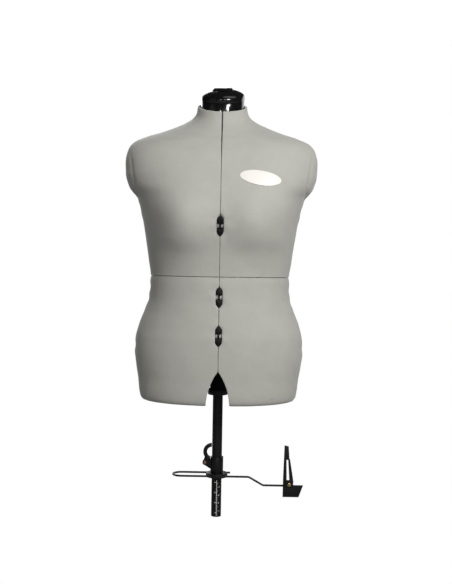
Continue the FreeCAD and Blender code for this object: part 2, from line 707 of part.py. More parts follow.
def inner_pole():
    return tube(INNER_POLE_R, INNER_POLE_R - POLE_WALL, POLE_TOP_Z - COLUMN_OVERLAP, COLUMN_TOP_Z)


def pole():
    width, depth = SOCKET_LINE
    line = tube(POLE_R + PAST, POLE_R - depth, SOCKET_DEPTH, SOCKET_DEPTH + width)
    return tube(POLE_R, POLE_R - POLE_WALL, 0, POLE_TOP_Z).cut(line)


def body_hub():
    """Sleeve on the pole with a flange at its foot and the lower panels' plate on top."""
    flange = upright(HUB_FLANGE_R, HUB_BOTTOM_Z, HUB_BOTTOM_Z + HUB_FLANGE_HEIGHT)
    flange = flange.makeChamfer(HUB_FLANGE_EDGE, [flange.Edges[0], flange.Edges[2]])
    sleeve = upright(HUB_R, HUB_BOTTOM_Z, HUB_PLATE_Z + HUB_SLEEVE_ABOVE)
    plate_low = HUB_PLATE_Z - HUB_PLATE_THICK
    plate = upright(HUB_PLATE_R, plate_low, HUB_PLATE_Z)
    cone = Part.makeCone(HUB_R, HUB_R + HUB_CONE, HUB_CONE, V(0, 0, plate_low - HUB_CONE))
    return fuse_all([flange, sleeve, plate, cone]).cut(upright(POLE_R, 0, POLE_TOP_Z))


# ---- hem marker ----------------------------------------------------------------------
def lever_ear(y0, y1):
    """One of the two cheeks that carry the lever, from the collar to the rivet."""
    x, z = LEVER_PIVOT
    root = -COLLAR_R + EAR_EYE_R
    low, root_low, root_high, high = EAR_WEB
    web = prism_xz([(x - EAR_WEB_IN, z - low), (root, z - root_low), (root, z + root_high),
                    (x + EAR_WEB_IN, z + high)], y0, y1)
    return web.fuse(bar_along_y(EAR_EYE_R, x, z, y0, y1))


def clamp_collar():
    body = upright(COLLAR_R, RING_TOP_Z + BORE_CLEAR, COLLAR_TOP_Z)
    low = RING_TOP_Z - RING_THICK - BORE_CLEAR
    spigot = upright(RING_BORE_R - BORE_CLEAR, low - LIP_THICK, RING_TOP_Z + PAST)
    lip = upright(COLLAR_R + LIP_PROUD, low - LIP_THICK, low)
    ears = [lever_ear(-LUG_HALF, -LUG_HALF + EAR_THICK), lever_ear(LUG_HALF - EAR_THICK, LUG_HALF)]
    whole = fuse_all([body, spigot, lip] + ears)
    whole = whole.cut(upright(POLE_R + BORE_CLEAR, 0, BIG))
    return whole.cut(bar_along_y(RIVET_R - RIVET_STEP + BORE_CLEAR, *LEVER_PIVOT))


def cam_lever():
    """Round hook on an eye between the ears, its tip and its foot just clear of pole and collar."""
    px, pz = LEVER_PIVOT
    y = LEVER_THICK / 2
    cx, cz = -POLE_R, pz + LEVER_RISE
    hook = bar_along_y(LEVER_BEND_R, cx, cz, -y, y)
    hook = hook.cut(bar_along_y(LEVER_BEND_R - LEVER_WIDTH, cx, cz))
    hook = hook.cut(box(-POLE_R - LEVER_CLEAR, BIG, -BIG, BIG, 0, BIG))
    hook = hook.cut(box(-COLLAR_R - LEVER_CLEAR, BIG, -BIG, BIG, 0, COLLAR_TOP_Z + LEVER_CLEAR))
    eye_r = LEVER_WIDTH / 2 + LEVER_EYE_EXTRA
    eye = bar_along_y(eye_r, px, pz, -y, y)
    side_z, top_z = pz + LEVER_WEB[0], pz + LEVER_WEB[1]
    web = prism_xz([(px - eye_r, pz), (px + eye_r, pz), (px + 2 * eye_r, side_z), (px + eye_r, top_z),
                    (px, top_z)], -y, y)
    web = web.cut(bar_along_y(LEVER_BEND_R - LEVER_WIDTH, cx, cz))
    return fuse_all([hook, web, eye]).cut(bar_along_y(RIVET_R - RIVET_STEP + BORE_CLEAR, px, pz))


def lever_rivet():
    x, z = LEVER_PIVOT
    shank = bar_along_y(RIVET_R - RIVET_STEP, x, z, -LUG_HALF, LUG_HALF)
    heads = [bar_along_y(RIVET_R, x, z, -LUG_HALF - RIVET_HEAD, -LUG_HALF),
             bar_along_y(RIVET_R, x, z, LUG_HALF, LUG_HALF + RIVET_HEAD)]
    return fuse_all([shank] + heads)


def swivel_ring():
    ring = upright(RING_R, RING_TOP_Z - RING_THICK, RING_TOP_Z)
    ring = ring.makeChamfer(RING_EDGE, [ring.Edges[0], ring.Edges[2]])
    ring = ring.cut(upright(RING_BORE_R, 0, BIG))
    for y in (-WIRE_OFFSET, WIRE_OFFSET):
        ring = ring.cut(cylinder(WIRE_R + BORE_CLEAR, (-BIG, y, WIRE_Z), (BIG, y, WIRE_Z)))
    return ring


def rounded_path(points, radius):
    """Straight edges through the points with an arc at each inner corner."""
    edges = []
    start = points[0]
    for before, corner, after in zip(points, points[1:], points[2:]):
        arriving = corner.sub(before).normalize()
        leaving = after.sub(corner).normalize()
        turn = arriving.getAngle(leaving)
        back = radius * math.tan(turn / 2)
        first = corner.sub(V(arriving).multiply(back))
        last = corner.add(V(leaving).multiply(back))
        inward = V(leaving).sub(arriving).normalize()
        middle = corner.add(inward.multiply(radius / math.cos(turn / 2) - radius))
        edges.append(Part.makeLine(start, first))
        edges.append(Part.Arc(first, middle, last).toShape())
        start = last
    edges.append(Part.makeLine(start, points[-1]))
    return edges


def marker_arm():
    """One bent wire: rear stub, hairpin, front leg, step down, end in the marker."""
    y, z = WIRE_OFFSET, WIRE_Z
    x_bend = -WIRE_LEFT + WIRE_OFFSET + WIRE_R
    rear = Part.makeLine(V(WIRE_STUB, y, z), V(x_bend, y, z))
    hairpin = Part.Arc(V(x_bend, y, z), V(x_bend - WIRE_OFFSET, 0, z), V(x_bend, -y, z)).toShape()
    front = rounded_path([V(x_bend, -y, z), V(WIRE_STEP_X[0], -y, z), V(WIRE_STEP_X[1], -y, WIRE_LOW_Z),
                          V(WIRE_END_X, -y, WIRE_LOW_Z)], WIRE_BEND_R)
    path = Part.Wire([rear, hairpin] + front)
    circle = Part.Wire([Part.Circle(V(WIRE_STUB, y, z), V(1, 0, 0), WIRE_R).toShape()])
    return path.makePipeShell([circle], True, False)


def round_marker_rivet(points):
    return [(MARKER_X + x, MARKER_Z + z) for x, z in points]


def marker_plate():
    """Bent sheet: upright face below the rivet, with a tongue wrapped round the wire's end."""
    y0 = PLATE_FRONT_Y
    face = prism_xz(round_marker_rivet(PLATE_OUTLINE), y0, y0 + SHEET)
    low_x, high_x = WIRE_END_X - GRIP_LENGTH, WIRE_END_X + PAST
    y, z = -WIRE_OFFSET, WIRE_LOW_Z
    sleeve = cylinder(WIRE_R + GRIP_WALL, (low_x, y, z), (high_x, y, z))
    below, above = BRIDGE_ROUND_WIRE
    bridge = box(low_x + BRIDGE_START, high_x, y0, y, z - below, z + above)
    whole = fuse_all([face, bridge, sleeve])
    whole = whole.cut(cylinder(WIRE_R, (0, y, z), (WIRE_END_X, y, z)))
    return whole.cut(bar_along_y(MARKER_RIVET_R + BORE_CLEAR, MARKER_X, MARKER_Z))


def marker_blade():
    y0 = BLADE_FRONT_Y
    blade = prism_xz(round_marker_rivet(BLADE_OUTLINE), y0, y0 + SHEET)
    blade = blade.cut(prism_xz(round_marker_rivet(BLADE_SLOT), y0 - PAST, y0 + SHEET + PAST))
    return blade.cut(bar_along_y(MARKER_RIVET_R + BORE_CLEAR, MARKER_X, MARKER_Z))


def blade_rivet():
    x, z = MARKER_X, MARKER_Z
    front = BLADE_FRONT_Y - SHEET_GAP / 2
    back = PLATE_FRONT_Y + SHEET + SHEET_GAP / 2
    before, behind = MARKER_RIVET_HEADS
    shank = bar_along_y(MARKER_RIVET_R, x, z, front, back)
    heads = [bar_along_y(MARKER_RIVET_HEAD_R, x, z, front - before, front),
             bar_along_y(MARKER_RIVET_HEAD_R, x, z, back, back + behind)]
    return fuse_all([shank] + heads)


# ---- build ---------------------------------------------------------------------------
SINGLE_PIECES = [pole, body_hub, inner_pole, neck_plate, neck_band, neck_cap, neck_knob, clamp_collar,
                 cam_lever, lever_rivet, swivel_ring, marker_arm, marker_plate, marker_blade, blade_rivet,
                 badge]


def main():
    os.makedirs("parts", exist_ok=True)
    for section in ("upper", "lower"):
        for front, place_name in ((True, "front"), (False, "back")):
            cover, shell, fittings = panel(section, front)
            for hand, change in (("left", lambda s: s), ("right", mirrored)):
                name = section + "_" + place_name + "_" + hand
                export(name + "_cover", [change(cover)])
                export(name + "_shell", [change(shell)])
                export(name + "_fittings", [change(f) for f in fittings])
    for section, levels in ADJUSTERS.items():
        for side in ("front", "back", "left", "right"):
            cages = []
            for level, (middle_z, side_z) in levels.items():
                z = middle_z if side in ("front", "back") else side_z
                place = adjuster_place(STATIONS[section], side, z)
                cages.append(placed(cage(), place))
                export(level + "_" + side + "_screw", [placed(spindle(), place), placed(wheel(), place)])
            export(section + "_" + side + "_cages", cages)
    for piece in SINGLE_PIECES:
        export(piece.__name__, [piece()])


main()
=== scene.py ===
import math

import bpy
import numpy as np
from mathutils import Matrix, Vector, noise

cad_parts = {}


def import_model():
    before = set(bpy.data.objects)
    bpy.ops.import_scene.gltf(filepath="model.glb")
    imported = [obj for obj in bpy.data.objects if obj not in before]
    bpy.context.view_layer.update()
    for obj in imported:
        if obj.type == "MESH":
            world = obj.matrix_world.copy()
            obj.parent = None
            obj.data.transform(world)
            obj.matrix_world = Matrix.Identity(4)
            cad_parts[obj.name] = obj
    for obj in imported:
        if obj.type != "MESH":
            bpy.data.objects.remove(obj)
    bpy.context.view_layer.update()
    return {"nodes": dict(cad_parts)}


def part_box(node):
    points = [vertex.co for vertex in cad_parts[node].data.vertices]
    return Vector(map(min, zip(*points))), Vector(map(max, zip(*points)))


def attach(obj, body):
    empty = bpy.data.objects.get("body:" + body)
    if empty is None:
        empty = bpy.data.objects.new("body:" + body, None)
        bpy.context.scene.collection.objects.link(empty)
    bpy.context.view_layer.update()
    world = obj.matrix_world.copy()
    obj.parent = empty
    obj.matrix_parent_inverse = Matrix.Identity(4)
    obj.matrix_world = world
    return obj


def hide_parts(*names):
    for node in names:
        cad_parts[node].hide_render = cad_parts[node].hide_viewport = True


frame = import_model()
NODES = frame["nodes"]
MM = 0.001

# ---- sizes of the cloth panels, in millimetres ----------------------------------------
# sections of the torso, as the hard panels have them: height, half width, front depth,
# back depth, roundness, slope towards the front
CHEST = np.array([
    (603.5, 173, 133, 112, 2.15, 0),
    (640, 176.5, 136, 115, 2.15, 0),
    (685, 182, 142, 120, 2.15, 0),
    (727, 189.5, 148, 125, 2.2, 0),
    (765, 197.5, 150, 128, 2.3, 0),
    (793, 205.5, 148, 129, 2.42, 0),
    (822, 225.5, 143, 129, 2.55, 0),
    (853, 234, 137, 127, 2.65, 0.02),
    (885, 235, 127, 122, 2.7, 0.04),
    (912, 230.5, 115, 116, 2.65, 0.07),
    (931, 218, 104, 109, 2.55, 0.11),
    (947, 186, 95, 102, 2.45, 0.16),
    (959.5, 146, 87, 94, 2.35, 0.21),
    (971.5, 112.5, 79, 85, 2.2, 0.26),
    (983, 87.5, 71.5, 76, 2.1, 0.3),
    (995, 70.5, 65, 68, 2, 0.335),
    (1008.5, 62.5, 60, 61.5, 2, 0.36),
    (1024.5, 60, 58, 58, 2, 0.37),
])
HIPS = np.array([
    (295.5, 178, 117, 121, 2.2, 0),
    (297.5, 186.5, 125, 129, 2.2, 0),
    (304.5, 192.5, 130.5, 135, 2.2, 0),
    (321.5, 196, 134, 139, 2.2, 0),
    (350, 199, 136, 142, 2.2, 0),
    (382, 204, 138, 144, 2.25, 0),
    (415, 207.4, 139, 143, 2.25, 0),
    (450, 206, 138, 138, 2.25, 0),
    (485, 197.5, 134, 131, 2.2, 0),
    (518, 184.5, 131, 122, 2.15, 0),
    (548, 174.5, 130, 114, 2.15, 0),
    (575, 171.9, 131, 111, 2.15, 0),
    (601.5, 171.5, 132, 111, 2.15, 0),
])
# swellings: middle x, middle z, height, spread in x, spread in z
BUST = (105, 733, 44, 58, 50)
BELLY = (0, 492, 7, 95, 55)
SEAT = (86, 425, 21, 55, 58)
SHOULDER_BLADE = (80, 868, 9, 48, 45)

# the arm's end plate: its edge leans out from a point (x, z), and is creased along it
ARM_EDGE = (205, 801, 0.157)
ARM_FOOT_RANGE = (784, 800)
ARM_TOP_RANGE = (872, 916)
CREASE_DEPTH = 1.3
CREASE_FOOT_EXTRA = 0.9
CREASE_RANGE = (800, 850)
CREASE_HALF_WIDTH = 2.8
ARM_CROWN = 1.3
ARM_CROWN_REACH = 12
# unevenness of the cloth: height, waves per millimetre
UNEVEN = ((0.55, 0.016), (0.16, 0.07))
# cloth round an adjuster: drawn in at the notch, then folds that fade out
DRAWN_IN, DRAWN_REACH = 1.1, 5.0
FOLD_HEIGHT, FOLD_PLACE, FOLD_REACH, FOLD_COUNT = 0.75, 9, 10.0, 5.0

SEAM_HALF_GAP = 1.0          # between the hard panels
CLOTH_HALF_GAP = 0.35        # between the cloth's edges, which reach past the panels'
GAP_REACH = 12.0             # from the seam to where the cloth lies as the panel does
NECK_SEAM_EXTRA = 1.3        # the seam opens a little towards the neck
NECK_SEAM_RANGE = (850, 1000)
CLOTH_WALL = 2.9
EDGE_ROLL = 1.9              # radius of the cloth's turned edges
SEAM_ROLLS = (0.5, 1.0)      # the same at the waist and far from it
WIDE_GAP_RANGE = (1.7, 4.0)  # half gaps between which a seam's roll becomes a full one
WAIST_Z = 602.5
WAIST_REACH = (30, 120)
FULLNESS = (105, 690, 3.6, 46, 17)    # slack of the cloth below the bust
WAIST_TUCK = ((2.0, 42), (1.2, 14))   # drawn in at the waist, above it and below: depth, reach
NECK_TURN = ((3.4, 0.1), (5.0, 0.0), (6.1, -0.9))    # cloth turned in over the neck edge: in, up
NOTCH_HALF_WIDTH = 8.0
NOTCH_HALF_HEIGHT = 25.0
NOTCH_POINT = 1.6            # height of its pointed ends by its half width
ARCH_TOP = 380.0
ARCH_FOOT = 289.5
ARCH_HALF_WIDTH = 28.0
ARCH_SIDE_R = 150.0
EDGE_STEPS = (0.0, 0.4, 1.0, 1.9, 3.2)
COLUMN_STEP = 3.6            # between columns of cloth points
ROW_STEP = 3.4

LEVELS = {"upper": ("bust",), "lower": ("waist", "hip")}
SIDES = ("front", "back", "left", "right")


# ---- modelling helpers ----------------------------------------------------------------
def only(obj):
    """Make this object the only selected and active one, in object mode."""
    if bpy.context.mode != "OBJECT":
        bpy.ops.object.mode_set(mode="OBJECT")
    bpy.ops.object.select_all(action="DESELECT")
    obj.select_set(True)
    bpy.context.view_layer.objects.active = obj


def made(name):
    """The object the last operator added, renamed and alone in the selection."""
    obj = bpy.context.active_object
    obj.name = name
    obj.data.name = name
    only(obj)
    return obj


def edit(select_mode="FACE"):
    bpy.ops.object.mode_set(mode="EDIT")
    bpy.ops.mesh.select_mode(type=select_mode)
    bpy.ops.mesh.select_all(action="DESELECT")
    bpy.ops.object.mode_set(mode="OBJECT")


def pick_faces(obj, test):
    """Select faces by a test on centre and normal, and go into edit mode."""
    edit("FACE")
    for face in obj.data.polygons:
        face.select = bool(test(face.center, face.normal))
    bpy.ops.object.mode_set(mode="EDIT")


def leave():
    bpy.ops.object.mode_set(mode="OBJECT")


def apply_place(obj):
    only(obj)
    bpy.ops.object.transform_apply(location=True, rotation=True, scale=True)


def modify(obj, kind, **settings):
    """Add a modifier with these settings and apply it."""
    only(obj)
    mod = obj.modifiers.new(kind.lower(), kind)
    for key, value in settings.items():
        setattr(mod, key, value)
    bpy.ops.object.modifier_apply(modifier=mod.name)


def smooth(obj, degrees=35):
    only(obj)
    bpy.ops.object.shade_smooth_by_angle(angle=math.radians(degrees))


def dress(obj, material):
    obj.data.materials.clear()
    obj.data.materials.append(material)


def place_copy(source, name, matrix):
    """A copy with its own mesh, moved by the matrix in its mesh."""
    obj = source.copy()
    obj.data = source.data.copy()
    obj.name = name
    obj.data.name = name
    bpy.context.collection.objects.link(obj)
    obj.matrix_world = Matrix.Identity(4)
    obj.data.transform(matrix)
    return obj


def discard(obj):
    bpy.data.objects.remove(obj, do_unlink=True)


def softened_copy(node, width, name=None, segments=2, angle=30):
    """A hard node's shape with rounded edges, on a merged copy of its mesh."""
    obj = place_copy(NODES[node], name or node + "_finished", Matrix.Identity(4))
    obj.parent = None
    obj.matrix_world = Matrix.Identity(4)
    only(obj)
    bpy.ops.object.mode_set(mode="EDIT")
    bpy.ops.mesh.select_all(action="SELECT")
    bpy.ops.mesh.remove_doubles(threshold=2e-5)
    bpy.ops.mesh.dissolve_limited(angle_limit=math.radians(1.5))
    bpy.ops.object.mode_set(mode="OBJECT")
    modify(obj, "BEVEL", width=width * MM, segments=segments, limit_method="ANGLE",
           angle_limit=math.radians(angle), harden_normals=False)
    smooth(obj, 40)
    return obj


def middle(node):
    low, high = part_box(node)
    return (Vector(low) + Vector(high)) / 2


# ---- shader groups --------------------------------------------------------------------
def group(name, inputs, outputs):
    tree = bpy.data.node_groups.new(name, "ShaderNodeTree")
    for label, kind, value in inputs:
        socket = tree.interface.new_socket(name=label, in_out="INPUT", socket_type=kind)
        if value is not None:
            socket.default_value = value
    for label, kind in outputs:
        tree.interface.new_socket(name=label, in_out="OUTPUT", socket_type=kind)
    start = tree.nodes.new("NodeGroupInput")
    end = tree.nodes.new("NodeGroupOutput")
    return tree, start, end


def math_node(tree, operation, a, b=None):
    node = tree.nodes.new("ShaderNodeMath")
    node.operation = operation
    for index, value in enumerate((a, b)):
        if value is None:
            continue
        if isinstance(value, (int, float)):
            node.inputs[index].default_value = value
        else:
            tree.links.new(value, node.inputs[index])
    return node.outputs[0]


def noise_node(tree, vector, scale, detail=3.0, rough=0.55):
    node = tree.nodes.new("ShaderNodeTexNoise")
    node.inputs["Detail"].default_value = detail
    node.inputs["Roughness"].default_value = rough
    if isinstance(scale, (int, float)):
        node.inputs["Scale"].default_value = scale
    else:
        tree.links.new(scale, node.inputs["Scale"])
    if vector is not None:
        tree.links.new(vector, node.inputs["Vector"])
    return node.outputs["Fac"]


def range_node(tree, value, low, high, to_low, to_high):
    node = tree.nodes.new("ShaderNodeMapRange")
    tree.links.new(value, node.inputs["Value"])
    for label, number in (("From Min", low), ("From Max", high),
                          ("To Min", to_low), ("To Max", to_high)):
        if isinstance(number, (int, float)):
            node.inputs[label].default_value = number
        else:
            tree.links.new(number, node.inputs[label])
    return node.outputs["Result"]


def mix_colour(tree, factor, a, b, blend="MIX"):
    node = tree.nodes.new("ShaderNodeMix")
    node.data_type = "RGBA"
    node.blend_type = blend
    tree.links.new(factor, node.inputs["Factor"])
    for label, value in (("A", a), ("B", b)):
        socket = next(s for s in node.inputs if s.name == label and s.type == "RGBA")
        if isinstance(value, tuple):
            socket.default_value = value
        else:
            tree.links.new(value, socket)
    return next(s for s in node.outputs if s.type == "RGBA")


def knit_group():
    """Single jersey: rows of small loops, a faint cross stitch and a mixed-yarn mottle, with
    painted shade darkening the colour in the low points between the loops.
    """
    tree, start, end = group("jersey_knit",
                             [("Vector", "NodeSocketVector", None),
                              ("Yarn", "NodeSocketColor", (0.4, 0.4, 0.37, 1)),
                              ("Dark yarn", "NodeSocketColor", (0.3, 0.3, 0.28, 1)),
                              ("Wales per metre", "NodeSocketFloat", 950.0),
                              ("Courses per metre", "NodeSocketFloat", 1150.0)],
                             [("Color", "NodeSocketColor"), ("Height", "NodeSocketFloat"),
                              ("Roughness", "NodeSocketFloat")])
    split = tree.nodes.new("ShaderNodeSeparateXYZ")
    tree.links.new(start.outputs["Vector"], split.inputs[0])
    across = math_node(tree, "MULTIPLY", split.outputs["X"], start.outputs["Wales per metre"])
    along = math_node(tree, "MULTIPLY", split.outputs["Y"], start.outputs["Courses per metre"])
    wale = math_node(tree, "PINGPONG", across, 0.5)
    course = math_node(tree, "PINGPONG", math_node(tree, "ADD", along, wale), 0.5)
    loops = math_node(tree, "MULTIPLY", math_node(tree, "MULTIPLY", wale, course), 4.0)
    fuzz = noise_node(tree, start.outputs["Vector"], 2600.0, 2.0)
    height = math_node(tree, "ADD", loops, math_node(tree, "MULTIPLY", fuzz, 0.5))
    tree.links.new(height, end.inputs["Height"])
    mottle = noise_node(tree, start.outputs["Vector"], 420.0, 4.0, 0.7)
    patch = noise_node(tree, start.outputs["Vector"], 22.0, 3.0)
    both = math_node(tree, "ADD", math_node(tree, "MULTIPLY", mottle, 0.75),
                     math_node(tree, "MULTIPLY", patch, 0.25))
    factor = range_node(tree, both, 0.36, 0.62, 0.0, 1.0)
    # painted shade: where the loops' height is low, between the loops, the colour is pulled
    # towards the dark yarn; the mottle itself is real mixed yarn
    mottle_and_loop_shade = math_node(tree, "MULTIPLY", factor, range_node(tree, loops, 0.0, 0.5, 0.75, 1.0))
    tree.links.new(mix_colour(tree, mottle_and_loop_shade, start.outputs["Dark yarn"], start.outputs["Yarn"]),
                   end.inputs["Color"])
    tree.links.new(range_node(tree, mottle, 0.3, 0.7, 0.93, 0.82), end.inputs["Roughness"])
    return tree


def handled_group():
    """Moulded or painted surface that is handled: fine grain, smears and faint scratches."""
    tree, start, end = group("handled_surface",
                             [("Vector", "NodeSocketVector", None),
                              ("Color", "NodeSocketColor", (0.02, 0.02, 0.02, 1)),
                              ("Worn color", "NodeSocketColor", (0.06, 0.06, 0.06, 1)),
                              ("Roughness", "NodeSocketFloat", 0.4),
                              ("Smear", "NodeSocketFloat", 0.12),
                              ("Grain per metre", "NodeSocketFloat", 1800.0)],
                             [("Color", "NodeSocketColor"), ("Roughness", "NodeSocketFloat"),
                              ("Height", "NodeSocketFloat")])
    smear = noise_node(tree, start.outputs["Vector"], 38.0, 4.0)
    wear = noise_node(tree, start.outputs["Vector"], 150.0, 5.0, 0.7)
    grain = noise_node(tree, start.outputs["Vector"], start.outputs["Grain per metre"], 2.0)
    worn = range_node(tree, wear, 0.58, 0.72, 0.0, 0.55)
    tree.links.new(mix_colour(tree, worn, start.outputs["Color"], start.outputs["Worn color"]),
                   end.inputs["Color"])
    swing = math_node(tree, "MULTIPLY", math_node(tree, "SUBTRACT", smear, 0.5),
                      math_node(tree, "MULTIPLY", start.outputs["Smear"], 2.0))
    tree.links.new(math_node(tree, "ADD", start.outputs["Roughness"], swing),
                   end.inputs["Roughness"])
    tree.links.new(math_node(tree, "ADD", grain, math_node(tree, "MULTIPLY", wear, 0.4)),
                   end.inputs["Height"])
    return tree


def material(name):
    mat = bpy.data.materials.new(name)
    mat.use_nodes = True
    tree = mat.node_tree
    return mat, tree, tree.nodes["Principled BSDF"]


def object_vector(tree):
    return tree.nodes.new("ShaderNodeTexCoord").outputs["Object"]


def bump(tree, shader, height, strength, distance):
    node = tree.nodes.new("ShaderNodeBump")
    node.inputs["Strength"].default_value = strength
    node.inputs["Distance"].default_value = distance
    tree.links.new(height, node.inputs["Height"])
    tree.links.new(node.outputs["Normal"], shader.inputs["Normal"])


def knit_material(knit):
    mat, tree, shader = material("grey_jersey")
    coords = tree.nodes.new("ShaderNodeUVMap")
    coords.uv_map = "cloth"
    use = tree.nodes.new("ShaderNodeGroup")
    use.node_tree = knit
    tree.links.new(coords.outputs["UV"], use.inputs["Vector"])
    use.inputs["Yarn"].default_value = (0.455, 0.448, 0.408, 1)
    use.inputs["Dark yarn"].default_value = (0.375, 0.370, 0.338, 1)
    tree.links.new(use.outputs["Color"], shader.inputs["Base Color"])
    tree.links.new(use.outputs["Roughness"], shader.inputs["Roughness"])
    bump(tree, shader, use.outputs["Height"], 0.35, 0.0003)
    shader.inputs["Specular IOR Level"].default_value = 0.18
    shader.inputs["Sheen Weight"].default_value = 0.22
    shader.inputs["Sheen Roughness"].default_value = 0.45
    return mat


def handled_material(name, handled, colour, worn, rough, smear=0.12, grain=1800.0, metallic=0.0,
                     coat=0.0, strength=0.15, specular=0.5):
    mat, tree, shader = material(name)
    use = tree.nodes.new("ShaderNodeGroup")
    use.node_tree = handled
    tree.links.new(object_vector(tree), use.inputs["Vector"])
    use.inputs["Color"].default_value = (*colour, 1)
    use.inputs["Worn color"].default_value = (*worn, 1)
    use.inputs["Roughness"].default_value = rough
    use.inputs["Smear"].default_value = smear
    use.inputs["Grain per metre"].default_value = grain
    tree.links.new(use.outputs["Color"], shader.inputs["Base Color"])
    tree.links.new(use.outputs["Roughness"], shader.inputs["Roughness"])
    bump(tree, shader, use.outputs["Height"], strength, 0.00015)
    shader.inputs["Metallic"].default_value = metallic
    shader.inputs["Coat Weight"].default_value = coat
    shader.inputs["Specular IOR Level"].default_value = specular
    return mat


# ---- cloth panels ---------------------------------------------------------------------
def smoothstep(value, low, high):
    t = np.clip((value - low) / (high - low), 0, 1)
    return t * t * (3 - 2 * t)


def between(stations, s):
    """Section values at positions s between the stations, with no overshoot."""
    steps = np.diff(stations, axis=0)
    slopes = np.vstack([steps[:1], np.zeros((len(steps) - 1, stations.shape[1])), steps[-1:]])
    before, after = steps[:-1], steps[1:]
    same = before * after > 0
    total = np.where(same, before + after, 1)
    slopes[1:-1] = np.where(same, 2 * before * after / total, 0)
    i = np.minimum(s.astype(int), len(steps) - 1)
    t = (s - i)[..., None]
    return ((2 * t ** 3 - 3 * t ** 2 + 1) * stations[i] + (t ** 3 - 2 * t ** 2 + t) * slopes[i]
            + (-2 * t ** 3 + 3 * t ** 2) * stations[i + 1] + (t ** 3 - t ** 2) * slopes[i + 1])


def swell(shape, x, z):
    cx, cz, height, spread_x, spread_z = shape
    across = np.exp(-((x - cx) / spread_x) ** 2 / 2)
    if cx:
        across = across + np.exp(-((x + cx) / spread_x) ** 2 / 2)
    return height * across * np.exp(-((z - cz) / spread_z) ** 2 / 2)


def skin(stations, front, s, angle):
    """Points on the panel's outside; angle 0 is at the side seam, a right angle at the middle."""
    z, half, front_d, back_d, power, slope = np.moveaxis(between(stations, s), -1, 0)
    depth = front_d if front else back_d
    c, n = np.cos(angle), np.sin(angle)
    k = (np.abs(c) ** power + np.abs(n) ** power) ** (-1 / power)
    x = half * c * k
    out = depth * n * k
    for swelling in ((BUST, BELLY) if front else (SEAT, SHOULDER_BLADE)):
        out = out + swell(swelling, x, z) * n
    way = -1 if front else 1
    y = way * out
    to_waist = SEAM_HALF_GAP - from_seam(np.abs(z - WAIST_Z) - SEAM_HALF_GAP)
    return np.stack([x + from_seam(x), y + way * from_seam(out),
                     z + slope * y + to_waist * np.sign(WAIST_Z - z)], -1)


def from_seam(distance):
    """How far a quarter is moved aside, which is less close to its seam."""
    return CLOTH_HALF_GAP + (SEAM_HALF_GAP - CLOTH_HALF_GAP) * smoothstep(distance, 0, GAP_REACH)


def notch_width(z, centre):
    """Half the width of a straight notch with pointed ends, below zero past them."""
    rise = NOTCH_POINT * NOTCH_HALF_WIDTH
    r = (rise ** 2 + NOTCH_HALF_WIDTH ** 2) / (2 * NOTCH_HALF_WIDTH)
    past = np.clip(np.abs(z - centre) - (NOTCH_HALF_HEIGHT - rise), 0, None)
    return np.sqrt(np.clip(r ** 2 - past ** 2, 0, None)) - (r - NOTCH_HALF_WIDTH)


def arch_width(z):
    rise = ARCH_TOP - ARCH_FOOT
    chord = math.hypot(ARCH_HALF_WIDTH, rise)
    reach = math.sqrt(ARCH_SIDE_R ** 2 - (chord / 2) ** 2)
    cx = ARCH_HALF_WIDTH / 2 - rise / chord * reach
    cz = ARCH_FOOT + rise / 2 - ARCH_HALF_WIDTH / chord * reach
    inside = np.clip(ARCH_SIDE_R ** 2 - (z - cz) ** 2, 0, None)
    return np.where(z < ARCH_TOP, cx + np.sqrt(inside), 0)


def adjuster_heights(section, side):
    return [middle(f"{level}_{side}_screw").z / MM for level in LEVELS[section]]


def seam_half(section, side, z):
    """Half the opening between two panels at height z: the seam, its notches and the arch."""
    half = CLOTH_HALF_GAP + NECK_SEAM_EXTRA * smoothstep(z, *NECK_SEAM_RANGE)
    for centre in adjuster_heights(section, side):
        half = np.maximum(half, notch_width(z, centre))
    if section == "lower" and side in ("front", "back"):
        half = np.maximum(half, arch_width(z))
    return half


def spaced(total, step):
    """Places along a length: close together at both ends, even between them."""
    ends = np.array(EDGE_STEPS)
    count = max(int(round((total - 2 * ends[-1]) / step)), 2)
    inner = np.linspace(ends[-1], total - ends[-1], count + 1)
    return np.concatenate([ends[:-1], inner, total - ends[:-1][::-1]])


def row_positions(stations, front):
    """Positions between stations for evenly spaced rows of cloth points."""
    s = np.linspace(0, len(stations) - 1, 3000)
    line = skin(stations, front, s, np.full_like(s, math.radians(42)))
    length = np.concatenate([[0], np.cumsum(np.linalg.norm(np.diff(line, axis=0), axis=1))])
    rows = spaced(length[-1], ROW_STEP)
    return np.interp(rows, length, s), rows


def edge_roll(distance, radius):
    """How far a turned edge falls back at this distance from the border."""
    short = np.clip(radius - distance, 0, radius)
    return radius - np.sqrt(np.clip(radius ** 2 - short ** 2, 0, None))


def roll_radius(gap, z):
    """Tight along a closed seam and tightest at the waist, fuller round notches and arch."""
    near, far = SEAM_ROLLS
    seam = near + (far - near) * smoothstep(abs(z - WAIST_Z), *WAIST_REACH)
    return seam + (EDGE_ROLL - seam) * smoothstep(gap, *WIDE_GAP_RANGE)


def cloth_noise(points, scale, seed):
    flat = points.reshape(-1, 3)
    shift = Vector((seed * 17.3, seed * 5.1, 0))
    values = [noise.noise(Vector(p) * scale + shift) for p in flat]
    return np.array(values).reshape(points.shape[:-1])


